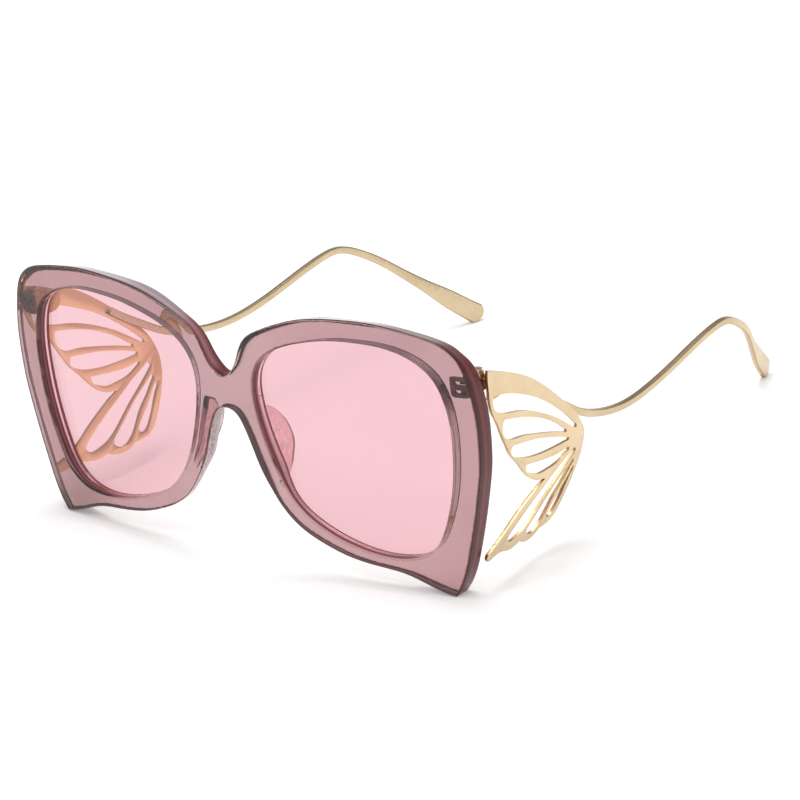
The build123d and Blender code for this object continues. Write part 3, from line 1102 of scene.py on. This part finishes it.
    def slope_walls(self, form: Form) -> None:
        """Let the outer wall lean inward towards the back along the brow.

        Args:
            form: The front.
        """
        form.normal_update()
        faces = self.outer_wall(form)
        marks = []
        for face in faces:
            if self.face_facing(face) < self.upright_facing:
                pull = level_part(face.normal) * face.calc_area() ** 0.5
                marks += [(level_part(vert.co), pull) for vert in face.verts]
        tree = KDTree(len(marks))
        for index, (spot, _) in enumerate(marks):
            tree.insert(spot, index)
        tree.balance()
        moves = []
        for vert in {vert for face in faces for vert in face.verts}:
            total = Vector()
            for _, index, away in tree.find_range(level_part(vert.co), self.evening):
                total += marks[index][1] * (1.0 - away / self.evening)
            if total.length > 0:
                outward = total.normalized()
                share = min(max(self.depth(vert.co), 0.0), 1.0)
                moves.append((vert, outward * (self.fall(vert.co, outward) * share)))
        for vert, move in moves:
            vert.co -= move

    def round_light(self, piece: Piece) -> None:
        """Shade the narrow bevels as rounds between the faces and the walls.

        Args:
            piece: The front.
        """
        smooth_over(piece, self.round_degrees)
        even = piece.modifiers.new("even", "WEIGHTED_NORMAL")
        even.keep_sharp = True
        pick_up(piece)
        bpy.ops.object.modifier_apply(modifier=even.name)

    def steady_light(self, piece: Piece, bent: float) -> None:
        """Shade the broad faces as smooth bends, whatever triangles they are made of.

        Args:
            piece: The front or a lens.
            bent: Faces up to this depth are shaded by the bend itself, and those behind it
                by the average of the faces that meet there.
        """
        mesh = piece.data
        broad: dict[int, Vector] = {}
        for face in mesh.polygons:
            if self.facing(face.center, face.normal) > self.broad_facing:
                for index in face.vertices:
                    broad[index] = broad.get(index, Vector()) + face.normal * face.area
        normals = []
        for loop in mesh.loops:
            shaded = Vector(mesh.corner_normals[loop.index].vector)
            average = broad.get(loop.vertex_index)
            if average is not None and shaded.dot(average.normalized()) > self.broad_turn:
                spot = mesh.vertices[loop.vertex_index].co
                shaded = average.normalized()
                if self.depth(spot) < bent:
                    through = self.through(spot)
                    shaded = through * math.copysign(1.0, through.dot(average))
            normals.append(shaded)
        mesh.normals_split_custom_set(normals)

    def opening(self, spot: Vector, normal: Vector) -> float:
        """Mark the walls of the lens openings.

        Args:
            spot: A corner's place.
            normal: Its shading normal.

        Returns:
            1 on the wall of an opening, 0 on the outer wall.
        """
        away = (abs(spot.x) - self.opening_centre[0]) * math.copysign(1.0, spot.x)
        inward = -(away * normal.x + (spot.z - self.opening_centre[1]) * normal.z)
        return 1.0 if abs(spot.x) > self.opening_start and inward > 0.0 else 0.0

    def outer(self, spot: Vector, normal: Vector) -> float:
        """0 on the wall of an opening, 1 elsewhere."""
        return 1.0 - self.opening(spot, normal)

    def nose(self, spot: Vector, normal: Vector) -> float:
        """Mark the outer wall beside the nose.

        Args:
            spot: A corner's place.
            normal: Its shading normal.

        Returns:
            1 beside the nose, easing to 0.
        """
        toward = -normal.x * math.copysign(1.0, spot.x)
        height = smooth_step(spot.z, *self.nose_low) * fade(spot.z, *self.nose_high)
        return smooth_step(toward, *self.nose_tilt) * height * self.outer(spot, normal)

    def airy(self, spot: Vector, normal: Vector) -> float:
        """1 on the opening's wall where the rim is narrow and the light comes through."""
        near = fade(abs(spot.x), *self.airy_reach)
        return near * fade(spot.z, *self.airy_rise) * self.opening(spot, normal)

    def bridge(self, spot: Vector, normal: Vector) -> float:
        """Mark the outer wall above the nose, between the brows.

        Args:
            spot: A corner's place.
            normal: Its shading normal.

        Returns:
            1 in the dip between the brows, easing to 0.
        """
        wide = abs(spot.x)
        near = smooth_step(wide, *self.dip_start) * fade(wide, *self.dip_reach)
        return near * smooth_step(spot.z, *self.dip_rise) * self.outer(spot, normal)

    def rise(self, spot: Vector, normal: Vector) -> float:
        """Mark the outer wall where it looks up, for its painted pale reflection.

        Args:
            spot: A corner's place.
            normal: Its shading normal.

        Returns:
            1 on top of the brow, easing to 0.
        """
        wide = abs(spot.x)
        along = smooth_step(wide, *self.top_start) * fade(wide, *self.top_reach)
        return smooth_step(normal.z, *self.top_tilt) * along * self.outer(spot, normal)

    def build(self) -> None:
        """Build the front and dress it."""
        piece = merged_copy("front_frame", "acetate_front")
        reshape(piece, self.fill_pockets, self.fill_grooves, self.close_up, self.slope_walls,
                self.thin)
        self.round_light(piece)
        self.steady_light(piece, self.broad_depth)
        most = self.thin_rim + self.thin_more
        mark_corners(piece, {
            "edge": lambda spot, normal: 1.0 - self.facing(spot, normal),
            "depth": lambda spot, normal: self.layer(spot),
            "opening": self.opening,
            "airy": self.airy,
            "thinned": lambda spot, normal: self.thinned(spot) / most,
            "bridge": self.bridge,
            "nose": self.nose,
            "rise": self.rise,
            "under": lambda spot, normal: smooth_step(-normal.z, *self.under_tilt),
            "glint": lambda spot, normal: smooth_step(normal.z, *self.glint_tilt),
        })
        finish_piece(piece, self.finishes.acetate, "front_frame", "front")


@dataclass
class TintedLens:
    """One lens, trimmed to the wall of its opening.

    The cuts give the first and last place and the step between them.
    """

    side: Side
    finishes: Finishes
    front: AcetateFront
    trim: float = 0.93 * MM
    upright_cuts: tuple[float, float, float] = mm(12.0, 66.0, 3.0)
    level_cuts: tuple[float, float, float] = mm(10.0, 34.0, 2.0)
    edge_facing: float = 0.5
    face_share: float = 0.6
    sharp_degrees: float = 30.0
    bent_depth: float = 2.0
    edge_places: Span = (0.3, 0.9)

    def divide(self, form: Form) -> None:
        """Cut the lens's large triangles, so that its faces can follow the thinner rim.

        Args:
            form: The lens.
        """
        for (first, last, step), across, sign in (
            (self.upright_cuts, Vector((1.0, 0.0, 0.0)), self.side.sign),
            (self.level_cuts, Vector((0.0, 0.0, 1.0)), 1.0),
        ):
            for index in range(round((last - first) / step) + 1):
                place = across * (first + index * step) * sign
                parts = form.verts[:] + form.edges[:] + form.faces[:]
                bmesh.ops.bisect_plane(form, geom=parts, plane_co=place, plane_no=across)

    def bend_faces(self, form: Form) -> None:
        """Bring what was cut on the lens's two faces back on to their bends.

        Args:
            form: The lens.
        """
        reaches = [self.front.reach(vert.co) for vert in form.verts]
        middle = (max(reaches) + min(reaches)) / 2
        half = max(reaches) - middle
        for vert, reach in zip(form.verts, reaches):
            if abs(reach - middle) > self.face_share * half:
                full = middle + math.copysign(half, reach - middle)
                vert.co.y = self.front.along_y(full, vert.co.x)

    def trim_edge(self, form: Form) -> None:
        """Bring the lens's edge in from its groove to the wall, along its own curve.

        Args:
            form: The lens.
        """
        form.normal_update()
        moves = []
        for vert in form.verts:
            outward = Vector()
            for face in vert.link_faces:
                if self.front.face_facing(face) < self.edge_facing:
                    outward += level_part(face.normal)
            if outward.length > 0:
                place = vert.co - outward.normalized() * self.trim
                place.y = self.front.along_y(self.front.reach(vert.co), place.x)
                moves.append((vert, place))
        for vert, place in moves:
            vert.co = place

    def edge(self, spot: Vector, normal: Vector) -> float:
        """1 on the lens's edge, 0 on its faces."""
        return fade(self.front.facing(spot, normal), *self.edge_places)

    def build(self) -> None:
        """Build the lens and dress it."""
        node = self.side.named("lens")
        piece = merged_copy(node, self.side.named("pink_lens"))
        reshape(piece, self.trim_edge, self.divide, self.bend_faces, self.front.thin)
        smooth_over(piece, self.sharp_degrees)
        self.front.steady_light(piece, self.bent_depth)
        mark_corners(piece, {"edge": self.edge})
        finish_piece(piece, self.finishes.lens, node, "front")


@dataclass
class NosePad:
    """One clear nose pad, glued to the back of the rim."""

    side: Side
    finishes: Finishes
    front: AcetateFront
    seat_strip: Span = mm(0.5, 1.5)
    bound_strip: Span = mm(1.5, 3.0)
    end_strip: Span = mm(1.5, 3.0)
    bound_tilt: Span = (0.25, 0.75)
    sharp_degrees: float = 35.0

    def seat(self, spot: Vector, normal: Vector) -> float:
        """1 at the rim, easing to 0 past the glue strip."""
        return fade(self.front.behind(spot), *self.seat_strip)

    def bound(self, spot: Vector, normal: Vector) -> float:
        """1 on the pad's free edge, painted dark as shade, 0 on its sides and at its seat."""
        free = smooth_step(self.front.behind(spot), *self.bound_strip)
        return free * fade(abs(normal.x), *self.bound_tilt)

    def build(self) -> None:
        """Build the pad and dress it."""
        node = self.side.named("nose_pad")
        piece = merged_copy(node, self.side.named("clear_pad"))
        reshape(piece, self.front.thin)
        smooth_over(piece, self.sharp_degrees)
        heights = [vert.co.z for vert in piece.data.vertices]
        low, high = min(heights), max(heights)

        def end(spot: Vector, normal: Vector) -> float:
            """1 at the pad's two ends, where it runs out into the plastic."""
            near = min(spot.z - low, high - spot.z)
            return self.seat(spot, normal) * fade(near, *self.end_strip)

        mark_corners(piece, {"seat": self.seat, "rim": self.bound, "end": end})
        finish_piece(piece, self.finishes.pad, node, "front")


@dataclass
class FrontHinge:
    """The metal anchor sunk in the front, and the screw through its eyes."""

    side: Side
    finishes: Finishes
    front: AcetateFront
    rim: float = 0.06 * MM

    def sunk(self, spot: Vector, normal: Vector) -> float:
        """1 inside the plastic, 0 behind it."""
        return 1.0 if self.front.depth(spot) < 1.0 else 0.0

    def build(self) -> None:
        """Build the anchor and the screw."""
        node = self.side.named("front_hinge")
        anchor = metal_copy(node, self.side.named("hinge_anchor"), self.rim)
        # Painted shade: the anchor is darker and mauve where it is sunk in the plastic.
        mark_corners(anchor, {"edge": lambda spot, normal: 0.0, "inner": self.sunk})
        finish_piece(anchor, self.finishes.anchor, node, "front")
        node = self.side.named("hinge_screw")
        screw = metal_copy(node, self.side.named("slotted_screw"), self.rim)
        mark_corners(screw, {"edge": lambda spot, normal: 0.0})
        finish_piece(screw, self.finishes.screw, node, "front")


@dataclass
class ButterflyTemple:
    """One temple: hinge leaf, pierced wing and waved rod."""

    side: Side
    finishes: Finishes
    wing_rim: float = 0.10 * MM
    wing_degrees: float = 30.0
    leaf_rim: float = 0.08 * MM
    cut_tilt: Span = (0.55, 0.9)
    bend_tilt: Span = (0.15, 0.22)
    rod_feather: float = 17.0 * MM
    rod_first: float = 0.03
    rod_outward: float = 0.95
    rod_under: Span = (0.5, 0.8)
    rod_upper: Span = (0.25, 0.7)

    def cut(self, spot: Vector, normal: Vector) -> float:
        """1 on a cut edge, which takes painted shade, 0 on a flat side."""
        return fade(abs(normal.x), *self.cut_tilt)

    def inside(self, normal: Vector) -> bool:
        """True where a face looks toward the wearer's head."""
        return normal.x * self.side.sign < 0

    def bent(self, normal: Vector) -> float:
        """1 on the hind part of the wing, past its fold."""
        return smooth_step(abs(normal.z), *self.bend_tilt)

    def inner(self, spot: Vector, normal: Vector) -> float:
        """1 on the inner side of the fore wing."""
        return 1.0 - self.bent(normal) if self.inside(normal) else 0.0

    def inner_bent(self, spot: Vector, normal: Vector) -> float:
        """1 on the inner side of the hind wing."""
        return self.bent(normal) if self.inside(normal) else 0.0

    def outer_bent(self, spot: Vector, normal: Vector) -> float:
        """1 on the outer side of the hind wing."""
        return 0.0 if self.inside(normal) else self.bent(normal)

    def leaf(self) -> None:
        """Build the hinge leaf."""
        node = self.side.named("temple_hinge")
        piece = metal_copy(node, self.side.named("hinge_leaf"), self.leaf_rim)
        mark_corners(piece, {"edge": self.cut})
        finish_piece(piece, self.finishes.leaf, node, self.side.temple)

    def wing(self) -> None:
        """Build the pierced wing."""
        node = self.side.named("temple_wing")
        name = self.side.named("pierced_wing")
        piece = metal_copy(node, name, self.wing_rim, self.wing_degrees)
        # These marks carry painted light and shade on the wing's sides.
        mark_corners(piece, {
            "edge": self.cut,
            "inner": self.inner,
            "inner_bent": self.inner_bent,
            "outer_bent": self.outer_bent,
        })
        finish_piece(piece, self.finishes.wing, node, self.side.temple)

    def feather_start(self, piece: Piece) -> None:
        """Thin the rod's first stretch down to the wing, so that it rises out of the sheet.

        Args:
            piece: The rod.
        """
        mesh = piece.data
        first = min(vert.co.y for vert in mesh.vertices)
        near = [face for face in mesh.polygons
                if face.center.y - first < self.rod_feather / 2
                and face.normal.x * self.side.sign > self.rod_outward]
        seat = max(near, key=lambda face: face.area)
        lean, root = seat.normal.copy(), mesh.vertices[seat.vertices[0]].co.copy()
        for vert in mesh.vertices:
            along = vert.co.y - first
            if along < self.rod_feather:
                less = (1.0 - self.rod_first) * fade(along, 0.0, self.rod_feather)
                vert.co += lean * ((root - vert.co).dot(lean) * less)

    def rod(self) -> None:
        """Build the waved rod."""
        node = self.side.named("temple_rod")
        piece = merged_copy(node, self.side.named("waved_rod"))
        self.feather_start(piece)
        smooth_over(piece, METAL_DEGREES)
        # Painted shade: the rod's underside takes the darker cut-edge colour, and its top the
        # darker top tint.
        mark_corners(piece, {
            "edge": lambda spot, normal: smooth_step(-normal.z, *self.rod_under),
            "top_shade": lambda spot, normal: smooth_step(normal.z, *self.rod_upper),
        })
        finish_piece(piece, self.finishes.rod, node, self.side.temple)

    def build(self) -> None:
        """Build the whole temple."""
        self.leaf()
        self.wing()
        self.rod()


@dataclass(frozen=True)
class Lamp:
    """One soft lamp, aimed at the object."""

    name: str
    spot: tuple[float, float, float]
    size: Span
    power: float
    aim: tuple[float, float, float] = (0.0, 0.0, 0.03)

    def hang(self) -> None:
        """Put the lamp in the scene."""
        light = bpy.data.lights.new(self.name, "AREA")
        light.shape = "RECTANGLE"
        light.size, light.size_y = self.size
        light.energy = self.power
        holder = bpy.data.objects.new(self.name, light)
        bpy.context.scene.collection.objects.link(holder)
        holder.location = self.spot
        holder.rotation_mode = "QUATERNION"
        toward = Vector(self.aim) - Vector(self.spot)
        holder.rotation_quaternion = toward.to_track_quat("-Z", "Y")


@dataclass
class Studio:
    """Floor, light and camera. The camera's angles are in radians, its lens in millimetres."""

    lens: float = 272.82
    sensor: float = 36.0
    clip: Span = (0.01, 100.0)
    azimuth: float = 0.723271528
    elevation: float = 0.374142585
    roll: float = -0.113446401
    place: tuple[float, float, float] = (0.93492, -1.07220, 0.57292)
    floor_size: float = 30.0
    floor_gap: float = 0.02 * MM
    floor_cloud: tuple[float, float, float] = (3.0, 2.0, 0.5)
    floor_greys: Stops = greys((0.3, 0.90), (0.7, 0.92))
    floor_roughness: float = 0.9
    floor_glow: float = 0.20
    sky: Stops = greys((0.0, 1.0), (0.09, 0.95), (0.25, 0.50), (0.7, 0.45), (0.9, 1.0))
    lamps: tuple[Lamp, ...] = (
        Lamp("top lamp", (-0.10, 0.10, 1.3), (0.7, 0.7), 6.9),
        Lamp("front lamp", (0.03, -0.70, 0.90), (1.2, 0.10), 1.5),
    )

    def camera(self) -> None:
        """Set the camera at the photograph's place and roll."""
        turn, rise, tip = self.azimuth, self.elevation, self.roll
        back = Vector((
            math.sin(turn) * math.cos(rise), -math.cos(turn) * math.cos(rise), math.sin(rise),
        ))
        right = Vector((math.cos(turn), math.sin(turn), 0.0))
        up = back.cross(right)
        across = right * math.cos(tip) + up * math.sin(tip)
        upward = up * math.cos(tip) - right * math.sin(tip)
        sight = bpy.data.cameras.new("camera")
        sight.lens, sight.sensor_width = self.lens, self.sensor
        sight.clip_start, sight.clip_end = self.clip
        holder = bpy.data.objects.new("camera", sight)
        bpy.context.scene.collection.objects.link(holder)
        turned = Matrix((across, upward, back)).transposed().to_4x4()
        holder.matrix_world = Matrix.Translation(Vector(self.place)) @ turned
        bpy.context.scene.camera = holder

    def floor(self) -> None:
        """Lay a pale floor that shows white and keeps the object's shadow."""
        nothing_selected()
        bpy.ops.mesh.primitive_plane_add(size=self.floor_size, location=(0, 0, -self.floor_gap))
        floor = bpy.context.object
        floor.name = "floor"
        board = Board("pale floor")
        board.feed(board.ramp(board.noise(*self.floor_cloud), self.floor_greys), "Base Color")
        board.set("Roughness", self.floor_roughness)
        board.glow(self.floor_glow)
        floor.data.materials.append(board.material)

    def surround(self) -> None:
        """Set a white surround that is darker higher up, as a room is above a white table."""
        world = bpy.data.worlds.new("surround")
        bpy.context.scene.world = world
        world.use_nodes = True
        tree = world.node_tree
        ground = tree.nodes["Background"]
        ground.inputs["Strength"].default_value = 1.0
        spot = tree.nodes.new("ShaderNodeTexCoord")
        apart = tree.nodes.new("ShaderNodeSeparateXYZ")
        band = tree.nodes.new("ShaderNodeValToRGB")
        tree.links.new(spot.outputs["Generated"], apart.inputs[0])
        tree.links.new(apart.outputs["Z"], band.inputs["Fac"])
        tree.links.new(band.outputs["Color"], ground.inputs["Color"])
        fill_ramp(band.color_ramp, self.sky)

    def build(self) -> None:
        """Set up the whole studio."""
        bpy.context.scene.view_settings.view_transform = "Standard"
        self.camera()
        self.floor()
        self.surround()
        for lamp in self.lamps:
            lamp.hang()


def main() -> None:
    """Build the studio and the sunglasses."""
    logging.basicConfig(level=logging.INFO, format="%(message)s")
    Studio().build()
    finishes = Finishes()
    front = AcetateFront(finishes)
    front.build()
    for side in Side:
        TintedLens(side, finishes, front).build()
        NosePad(side, finishes, front).build()
        FrontHinge(side, finishes, front).build()
        ButterflyTemple(side, finishes).build()
    nothing_selected()


if __name__ == "__main__":
    main()
